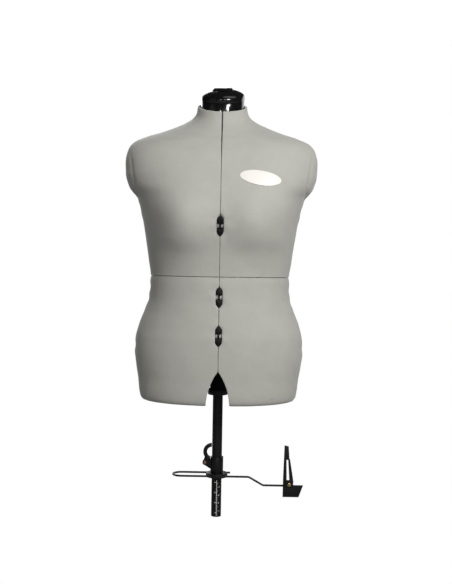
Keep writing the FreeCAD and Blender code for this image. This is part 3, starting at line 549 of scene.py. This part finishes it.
def puckers(points, section, front, hand):
    """Small dents and folds of the cloth round each adjuster, in millimetres."""
    depth = np.zeros(points.shape[:-1])
    middle_side = "front" if front else "back"
    for side, axis in ((middle_side, 0), (hand, 1)):
        for k, centre in enumerate(adjuster_heights(section, side)):
            across = np.abs(points[..., axis])
            if axis == 1:
                near = np.sign(points[..., 0]) == (1 if hand == "left" else -1)
            else:
                near = (points[..., 1] < 0) == front
            along = points[..., 2] - centre
            edge = np.clip(across - np.clip(notch_width(points[..., 2], centre), 0, None), 0, None)
            reach = np.hypot(edge, np.clip(np.abs(along) - NOTCH_HALF_HEIGHT, 0, None))
            turn = np.arctan2(along, across + 6)
            start = 1.3 * k + 0.7 * axis + (0.9 if hand == "left" else 0)
            folds = np.cos(turn * FOLD_COUNT + start)
            depth += near * (-DRAWN_IN * np.exp(-(reach / DRAWN_REACH) ** 2)
                             + FOLD_HEIGHT * folds
                             * np.exp(-((reach - FOLD_PLACE) / FOLD_REACH) ** 2))
    return depth


def arm_plate(points):
    """Crease where the chest cloth meets the arm's end plate, and the plate's slight crown."""
    x, z = np.abs(points[..., 0]), points[..., 2]
    foot_x, foot_z, lean = ARM_EDGE
    off = x - (foot_x + (z - foot_z) * lean)
    fade = smoothstep(z, *ARM_FOOT_RANGE) * (1 - smoothstep(z, *ARM_TOP_RANGE))
    deep = CREASE_DEPTH + CREASE_FOOT_EXTRA * (1 - smoothstep(z, *CREASE_RANGE))
    crease = -deep * np.exp(-(off / CREASE_HALF_WIDTH) ** 2)
    crown = ARM_CROWN * smoothstep(off, 0, ARM_CROWN_REACH)
    return fade * (crease + crown)


def cloth_panel(section, front, hand, knit):
    """Foam-backed jersey of one quarter, its edges rolled over the shell's edges."""
    stations = CHEST if section == "upper" else HIPS
    middle_side = "front" if front else "back"
    s_rows, row_places = row_positions(stations, front)
    fine = np.linspace(0, math.pi / 2, 500)
    lines = skin(stations, front, s_rows[:, None], fine[None, :])
    widest = 0
    spans = []
    for row, line in enumerate(lines):
        side_gap = seam_half(section, "left", line[0, 2])
        middle_gap = seam_half(section, middle_side, line[-1, 2])
        first = np.interp(side_gap, np.abs(line[:, 1]), fine)
        last = np.interp(middle_gap, line[::-1, 0], fine[::-1])
        length = np.concatenate([[0], np.cumsum(np.linalg.norm(np.diff(line, axis=0), axis=1))])
        a, b = np.interp([first, last], fine, length)
        rolls = roll_radius(side_gap, line[0, 2]), roll_radius(middle_gap, line[-1, 2])
        spans.append((length, a, b, rolls))
        widest = max(widest, b - a)
    share = spaced(widest, COLUMN_STEP)
    count = len(share)
    points = np.zeros((len(s_rows), count, 3))
    along_row = np.zeros((len(s_rows), count))
    fall = np.zeros((len(s_rows), count))
    ends = len(EDGE_STEPS) - 1
    for row, (length, a, b, rolls) in enumerate(spans):
        total = b - a
        places = np.interp(share, [0, share[ends], share[-1 - ends], widest],
                           [0, EDGE_STEPS[-1], total - EDGE_STEPS[-1], total])
        angle = np.interp(a + places, length, fine)
        points[row] = skin(stations, front, np.full(count, s_rows[row]), angle)
        along_row[row] = b - (a + places)
        fall[row] = edge_roll(places, rolls[0]) + edge_roll(total - places, rolls[1])
    if hand == "right":
        points[..., 0] *= -1
    across = np.gradient(points, axis=1)
    up = np.gradient(points, axis=0)
    normal = np.cross(across, up)
    normal /= np.linalg.norm(normal, axis=-1, keepdims=True)
    outward = points * np.array([1, 1, 0])
    inside_out = (normal * outward).sum() < 0
    if inside_out:
        normal = -normal
    from_end = np.minimum(row_places, row_places[-1] - row_places)[:, None]
    ends_roll = np.where(np.abs(points[..., 2] - WAIST_Z) < GAP_REACH, SEAM_ROLLS[1], EDGE_ROLL)
    move = -fall - edge_roll(np.broadcast_to(from_end, fall.shape), ends_roll)
    for seed, (height, waves) in enumerate(UNEVEN, 1):
        move = move + height * cloth_noise(points, waves, seed)
    move = move + puckers(points, section, front, hand)
    tuck, reach = WAIST_TUCK[section == "lower"]
    move = move - tuck * (1 - smoothstep(np.abs(points[..., 2] - WAIST_Z), 0, reach))
    if section == "upper":
        move = move + arm_plate(points)
        if front:
            move = move + swell(FULLNESS, points[..., 0], points[..., 2])
    edge_line, edge_normal = points[-1], normal[-1]
    points = points + normal * move[..., None]
    if section == "upper":
        level = edge_normal * np.array([1, 1, 0])
        level /= np.linalg.norm(level, axis=-1, keepdims=True)
        turned = [edge_line - level * inward + np.array([0, 0, up_by])
                  for inward, up_by in NECK_TURN]
        points = np.concatenate([points, turned])
        along_row = np.concatenate([along_row, [along_row[-1]] * len(NECK_TURN)])
        row_places = np.append(row_places, [row_places[-1] + step[0] for step in NECK_TURN])
    if inside_out:
        points = points[:, ::-1]
        along_row = along_row[:, ::-1]

    bpy.ops.object.select_all(action="DESELECT")
    bpy.ops.mesh.primitive_grid_add(x_subdivisions=count - 1, y_subdivisions=len(points) - 1,
                                    size=0.4)
    name = f"{section}_{middle_side}_{hand}_cloth"
    cloth = made(name)
    cloth.location = (0, 0, 0)
    cloth.data.vertices.foreach_set("co", (points * MM).ravel())
    uv = cloth.data.uv_layers[0]
    uv.name = "cloth"
    corners = np.zeros(len(cloth.data.loops), dtype=int)
    cloth.data.loops.foreach_get("vertex_index", corners)
    seam_sign = 1 if hand == "left" else -1
    up_rows = np.broadcast_to(row_places[:, None], along_row.shape)
    flat = np.stack([seam_sign * along_row, up_rows], -1)
    uv.data.foreach_set("uv", (flat.reshape(-1, 2)[corners] * MM).ravel())
    cloth.data.update()
    modify(cloth, "SOLIDIFY", thickness=CLOTH_WALL * MM, offset=-1.0)
    only(cloth)
    bpy.ops.object.shade_smooth()
    dress(cloth, knit)
    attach(cloth, f"{section}_{middle_side}_{hand}")
    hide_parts(f"{section}_{middle_side}_{hand}_cover")
    widths = np.abs(along_row[:, -1] - along_row[:, 0])
    flat = float(widths.max()) * MM, float(row_places[-1]) * MM


# ---- adjusters ------------------------------------------------------------------------
HUB_R = 6.25
HUB_HALF = 7.4
HUB_EDGE, HUB_CROWN = 0.4, 0.25
ROD_R = 3.9
WHEEL_HALF = 2.15
WHEEL_LIP = 2.2              # flat ring at the rim, before the face slopes in
WHEEL_SLOPE, WHEEL_DISH = 0.8, 0.7
THREAD_PITCH = 2.5
THREAD_DEPTH = 0.6
RIDGES = 60
RIDGE_DEPTH = 0.7


def thumbwheel(radius, plastic):
    """Finger wheel round the X axis, its rim cut into ridges."""
    bpy.ops.object.select_all(action="DESELECT")
    bpy.ops.mesh.primitive_cylinder_add(vertices=2 * RIDGES, radius=(radius - RIDGE_DEPTH) * MM,
                                        depth=2 * WHEEL_HALF * MM, rotation=(0, math.pi / 2, 0))
    wheel = made("thumbwheel")
    apply_place(wheel)
    rim_r = (radius - WHEEL_LIP) * MM
    index = iter(range(4 * RIDGES))
    pick_faces(wheel, lambda c, n: (abs(n.x) < 0.5 and math.hypot(c.y, c.z) > rim_r
                                    and next(index) % 2 == 0))
    bpy.ops.mesh.extrude_faces_move(TRANSFORM_OT_shrink_fatten={"value": RIDGE_DEPTH * MM})
    leave()
    pick_faces(wheel, lambda c, n: abs(n.x) > 0.9 and math.hypot(c.y, c.z) < 1 * MM)
    bpy.ops.mesh.inset(thickness=WHEEL_LIP * MM, depth=0)
    bpy.ops.mesh.inset(thickness=WHEEL_SLOPE * MM, depth=-WHEEL_DISH * MM)
    leave()
    modify(wheel, "BEVEL", width=0.15 * MM, segments=1, limit_method="ANGLE",
           angle_limit=math.radians(40))
    smooth(wheel, 30)
    dress(wheel, plastic)
    return wheel


def threaded_spindle(half_length, nylon):
    """White spindle along X: a grooved hub in the middle, a threaded rod to each side."""
    bpy.ops.object.select_all(action="DESELECT")
    bpy.ops.mesh.primitive_cylinder_add(vertices=32, radius=HUB_R * MM, depth=2 * HUB_HALF * MM,
                                        rotation=(0, math.pi / 2, 0))
    spindle = made("spindle")
    apply_place(spindle)
    pick_faces(spindle, lambda c, n: abs(n.x) > 0.9)
    bpy.ops.mesh.inset(thickness=HUB_EDGE * MM, depth=HUB_CROWN * MM)
    bpy.ops.mesh.inset(thickness=(HUB_R - ROD_R - HUB_EDGE) * MM, depth=0)
    turns = int((half_length - HUB_HALF - 1.0) / THREAD_PITCH)
    crest = {"value": 0.2 * THREAD_PITCH * MM}
    flank = 0.3 * THREAD_PITCH * MM
    for _ in range(turns):
        bpy.ops.mesh.extrude_faces_move(TRANSFORM_OT_shrink_fatten=crest)
        bpy.ops.mesh.inset(thickness=THREAD_DEPTH * MM, depth=flank)
        bpy.ops.mesh.inset(thickness=-THREAD_DEPTH * MM, depth=flank)
        bpy.ops.mesh.extrude_faces_move(TRANSFORM_OT_shrink_fatten=crest)
    bpy.ops.mesh.inset(thickness=0.8 * MM, depth=0.7 * MM)
    leave()
    smooth(spindle, 35)
    dress(spindle, nylon)
    return spindle


def adjusters(plastic, nylon):
    low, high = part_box("bust_front_screw")
    wheel_r = (high[1] - low[1]) / 2 / MM
    half_length = (high[0] - low[0]) / 2 / MM
    wheel = thumbwheel(wheel_r, plastic)
    spindle = threaded_spindle(half_length, nylon)
    quarter = Matrix.Rotation(math.pi / 2, 4, "Z")
    for section, levels in LEVELS.items():
        for side in SIDES:
            for level in levels:
                body = f"{level}_{side}_screw"
                place = Matrix.Translation(middle(body))
                if side in ("left", "right"):
                    place = place @ quarter
                rim = place_copy(wheel, f"{level}_{side}_wheel", place)
                rod = place_copy(spindle, f"{level}_{side}_spindle", place)
                for piece, slot in ((rim, "black_plastic"), (rod, "white_nylon")):
                    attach(piece, body)
                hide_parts(body)
            node = f"{section}_{side}_cages"
            cages = softened_copy(node, 0.6, f"{section}_{side}_cage_mouldings")
            dress(cages, plastic)
            finish(cages, f"{section}_{side}_carrier", node)
    discard(wheel)
    discard(spindle)


def finish(piece, body, node):
    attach(piece, body)
    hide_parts(node)


# ---- pole scale and badge -------------------------------------------------------------
SCALE_LOW, SCALE_HIGH = 3.0, 93.0
SCALE_LINE = 0.9
TICKS, TICK_STEP = 18, 5
TICK_LENGTHS = (3.6, 2.2)
INCH = 25.4
NUMERAL = 5.0                # height of the figures
PRINT_LIFT, PRINT_THICK = 0.012, 0.012
SCALE_X = 0.4                # the printed line's place beside the pole's middle


def wrapped_on_pole(obj, radius):
    """Bend a flat piece in the XZ plane round the front of the pole."""
    for vertex in obj.data.vertices:
        x, y, z = vertex.co
        turn = x / radius
        r = radius - y
        vertex.co = (r * math.sin(turn), -r * math.cos(turn), z)


def printed_bar(x0, x1, z0, z1):
    bpy.ops.object.select_all(action="DESELECT")
    bpy.ops.mesh.primitive_grid_add(x_subdivisions=8, y_subdivisions=1, size=1)
    bar = bpy.context.active_object
    bar.scale = ((x1 - x0) * MM, (z1 - z0) * MM, 1)
    bar.rotation_euler = (math.pi / 2, 0, 0)
    bar.location = ((x0 + x1) / 2 * MM, 0, (z0 + z1) / 2 * MM)
    apply_place(bar)
    return bar


def printed_number(text, x, z, size):
    bpy.ops.object.select_all(action="DESELECT")
    bpy.ops.object.text_add(rotation=(math.pi / 2, 0, 0))
    label = bpy.context.active_object
    label.data.body = text
    label.data.size = size * MM
    label.data.align_x = "CENTER"
    label.data.align_y = "CENTER"
    label.location = (x * MM, 0, z * MM)
    only(label)
    bpy.ops.object.convert(target="MESH")
    label = bpy.context.active_object
    apply_place(label)
    bpy.ops.object.mode_set(mode="EDIT")
    bpy.ops.mesh.select_all(action="SELECT")
    bpy.ops.mesh.quads_convert_to_tris()
    bpy.ops.mesh.subdivide(number_cuts=3)
    leave()
    return label


def pole_scale(ink):
    """Printed height scale on the pole below the hem marker: a line, ticks and plain numbers."""
    low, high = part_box("pole")
    radius = (high[0] - low[0]) / 2
    x = SCALE_X
    bars = [printed_bar(x - SCALE_LINE / 2, x + SCALE_LINE / 2, SCALE_LOW, SCALE_HIGH)]
    for k in range(TICKS):
        z = SCALE_LOW + 2 + TICK_STEP * k
        bars.append(printed_bar(x, x + TICK_LENGTHS[k % 2], z - 0.4, z + 0.4))
    for k in range(4):
        z = SCALE_LOW + 8 + INCH * k
        bars.append(printed_bar(x - 3.4, x, z - 0.5, z + 0.5))
        bars.append(printed_number(str(k + 1), x - 5.2, z, NUMERAL))
    for k in range(4):
        z = SCALE_LOW + 12 + 4 * TICK_STEP * k
        bars.append(printed_number(str(2 * k + 2), x + 6.0, z, NUMERAL))
    only(bars[0])
    for bar in bars:
        bar.select_set(True)
    bpy.ops.object.join()
    scale = made("pole_height_scale")
    wrapped_on_pole(scale, radius + PRINT_LIFT * MM)
    modify(scale, "SOLIDIFY", thickness=PRINT_THICK * MM, offset=1.0)
    dress(scale, ink)
    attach(scale, "stand")


def badge(enamel):
    """Blank oval plate on the chest, with a softened edge."""
    plate = softened_copy("badge", 0.45, "chest_badge", segments=3, angle=50)
    dress(plate, enamel)
    finish(plate, "upper_front_left", "badge")


# ---- stage ----------------------------------------------------------------------------
TARGET_Z = 0.5640            # height that the camera looks at
EYE_Z = 0.63
EYE_DISTANCE = 2.2
EYE_X = 0.016
ROLL = 0.95                  # degrees
SENSOR_HEIGHT = 24.0
HALF_VIEW = 0.730            # half the height seen at the form's middle
FLOOR_BELOW = 0.0005


def camera():
    data = bpy.data.cameras.new("camera")
    data.sensor_fit = "VERTICAL"
    data.sensor_height = SENSOR_HEIGHT
    data.lens = SENSOR_HEIGHT / (2 * HALF_VIEW / EYE_DISTANCE)
    obj = bpy.data.objects.new("camera", data)
    bpy.context.collection.objects.link(obj)
    pitch = math.atan2(EYE_Z - TARGET_Z, EYE_DISTANCE)
    tilt = Matrix.Rotation(math.pi / 2 - pitch, 4, "X")
    roll = Matrix.Rotation(math.radians(ROLL), 4, "Z")
    obj.matrix_world = Matrix.Translation((EYE_X, -EYE_DISTANCE, EYE_Z)) @ (tilt @ roll)
    bpy.context.scene.camera = obj


def area_light(name, place, target, size, power):
    data = bpy.data.lights.new(name, "AREA")
    data.shape = "DISK"
    data.size = size
    data.energy = power
    obj = bpy.data.objects.new(name, data)
    bpy.context.collection.objects.link(obj)
    obj.location = place
    obj.rotation_euler = (Vector(target) - Vector(place)).to_track_quat("-Z", "Y").to_euler()


def floor():
    bpy.ops.object.select_all(action="DESELECT")
    bpy.ops.mesh.primitive_plane_add(size=30, location=(0, 0, -FLOOR_BELOW))
    plane = made("floor")
    apply_place(plane)
    mat, tree, shader = material("pale_floor")
    shader.inputs["Base Color"].default_value = (0.24, 0.24, 0.24, 1)
    shader.inputs["Roughness"].default_value = 0.9
    shader.inputs["Specular IOR Level"].default_value = 0.1
    glow = tree.nodes.new("ShaderNodeEmission")
    seen = tree.nodes.new("ShaderNodeLightPath")
    mix = tree.nodes.new("ShaderNodeMixShader")
    tree.links.new(seen.outputs["Is Camera Ray"], mix.inputs[0])
    tree.links.new(shader.outputs[0], mix.inputs[1])
    tree.links.new(glow.outputs[0], mix.inputs[2])
    tree.links.new(mix.outputs[0], tree.nodes["Material Output"].inputs["Surface"])
    dress(plane, mat)


WORLD_SOFT = 0.085           # light from all round
WORLD_IN_GLOSS = 0.02        # the same in reflections


def world():
    scene_world = bpy.data.worlds.new("studio")
    bpy.context.scene.world = scene_world
    scene_world.use_nodes = True
    tree = scene_world.node_tree
    back = tree.nodes["Background"]
    back.inputs["Color"].default_value = (1, 1, 1, 1)
    path = tree.nodes.new("ShaderNodeLightPath")
    seen = math_node(tree, "MAXIMUM", path.outputs["Is Camera Ray"],
                     path.outputs["Is Transmission Ray"])
    soft = range_node(tree, path.outputs["Is Glossy Ray"], 0, 1, WORLD_SOFT, WORLD_IN_GLOSS)
    tree.links.new(range_node(tree, seen, 0, 1, soft, 1.0), back.inputs["Strength"])


def lights():
    area_light("key", (1.18, -2.15, 1.8), (0, 0, 0.85), 0.8, 55)
    area_light("fill", (-2.8, -2.2, 1.6), (0, 0, 0.7), 2.0, 2)
    area_light("top", (0.7, -0.4, 2.9), (0, 0, 0.8), 1.4, 5)
    area_light("behind_left", (-1.3, 3.0, 2.2), (0, 0, 0.7), 3.0, 85)
    area_light("behind_right", (1.9, 2.6, 1.5), (0, 0, 0.6), 2.6, 26)
    area_light("front_left", (-0.44, -2.7, 1.30), (0, 0, 0.75), 0.20, 9)
    area_light("front_right", (0.46, -2.7, 1.30), (0, 0, 0.75), 0.20, 10)


# ---- assembly -------------------------------------------------------------------------
# moulded, painted and metal finishes: colour, worn colour, roughness and what else differs
FINISHES = {
    "black_moulding": ((0.006, 0.006, 0.0065), (0.016, 0.016, 0.016), 0.45, {"specular": 0.3}),
    "cage_moulding": ((0.005, 0.005, 0.005), (0.010, 0.010, 0.010), 0.5, {"specular": 0.14}),
    "polished_black": ((0.005, 0.005, 0.0055), (0.009, 0.009, 0.009), 0.14,
                       {"smear": 0.05, "coat": 0.3, "strength": 0.05, "specular": 0.4}),
    "black_enamel": ((0.005, 0.005, 0.0055), (0.014, 0.014, 0.014), 0.34,
                     {"smear": 0.08, "specular": 0.3}),
    "dark_sheet": ((0.010, 0.010, 0.011), (0.04, 0.04, 0.04), 0.40,
                   {"smear": 0.1, "metallic": 0.3, "specular": 0.3}),
    "white_nylon": ((0.94, 0.925, 0.86), (0.86, 0.83, 0.74), 0.38, {}),
    "panel_moulding": ((0.36, 0.36, 0.35), (0.28, 0.28, 0.27), 0.55, {}),
    "fitting_moulding": ((0.05, 0.05, 0.052), (0.09, 0.09, 0.09), 0.5, {}),
    "plated_steel": ((0.62, 0.62, 0.62), (0.45, 0.44, 0.42), 0.25,
                     {"metallic": 1.0, "smear": 0.08}),
    "copper_rivet": ((0.50, 0.25, 0.16), (0.30, 0.15, 0.10), 0.34,
                     {"metallic": 1.0, "smear": 0.1, "grain": 3500.0}),
    "brass_rivet": ((0.62, 0.47, 0.20), (0.40, 0.29, 0.12), 0.3,
                    {"metallic": 1.0, "smear": 0.1, "grain": 3500.0}),
    "badge_enamel": ((0.80, 0.77, 0.72), (0.74, 0.70, 0.64), 0.34, {}),
}
# hard pieces shown with softened edges: node, width of the rounding, body, slot, finish
SOFTENED = (
    ("neck_band", 0.7, "upper_core", "gloss_black", "polished_black"),
    ("neck_cap", 0.6, "upper_core", "gloss_black", "polished_black"),
    ("neck_knob", 0.5, "neck_knob", "gloss_black", "polished_black"),
    ("body_hub", 0.6, "stand", "black_plastic", "black_moulding"),
    ("clamp_collar", 0.5, "hem_collar", "black_steel", "black_enamel"),
    ("cam_lever", 0.7, "cam_lever", "black_steel", "black_enamel"),
    ("lever_rivet", 0.5, "hem_collar", "copper_rivet", "copper_rivet"),
    ("swivel_ring", 0.4, "swivel_ring", "black_plastic", "black_moulding"),
    ("marker_plate", 0.25, "marker_arm", "dark_sheet", "dark_sheet"),
    ("marker_blade", 0.25, "marker_blade", "dark_sheet", "dark_sheet"),
    ("blade_rivet", 0.5, "marker_arm", "brass_rivet", "brass_rivet"),
)
# pieces shown as they are
PLAIN = {"pole": "black_enamel", "inner_pole": "plated_steel",
         "neck_plate": "fitting_moulding", "marker_arm": "black_enamel"}


def main():
    knit = knit_material(knit_group())
    handled = handled_group()
    made_of = {name: handled_material(name, handled, *looks, **more)
               for name, (*looks, more) in FINISHES.items()}

    for section in ("upper", "lower"):
        for front in (True, False):
            for hand in ("left", "right"):
                cloth_panel(section, front, hand, knit)
                name = f"{section}_{'front' if front else 'back'}_{hand}"
                dress(NODES[name + "_shell"], made_of["panel_moulding"])
                dress(NODES[name + "_fittings"], made_of["fitting_moulding"])
    adjusters(made_of["cage_moulding"], made_of["white_nylon"])
    for node, width, body, slot, look in SOFTENED:
        piece = softened_copy(node, width)
        dress(piece, made_of[look])
        finish(piece, body, node)
    for node, look in PLAIN.items():
        dress(NODES[node], made_of[look])
    pole_scale(made_of["badge_enamel"])
    badge(made_of["badge_enamel"])
    floor()
    world()
    lights()
    camera()
    bpy.context.scene.view_settings.view_transform = "Standard"


main()
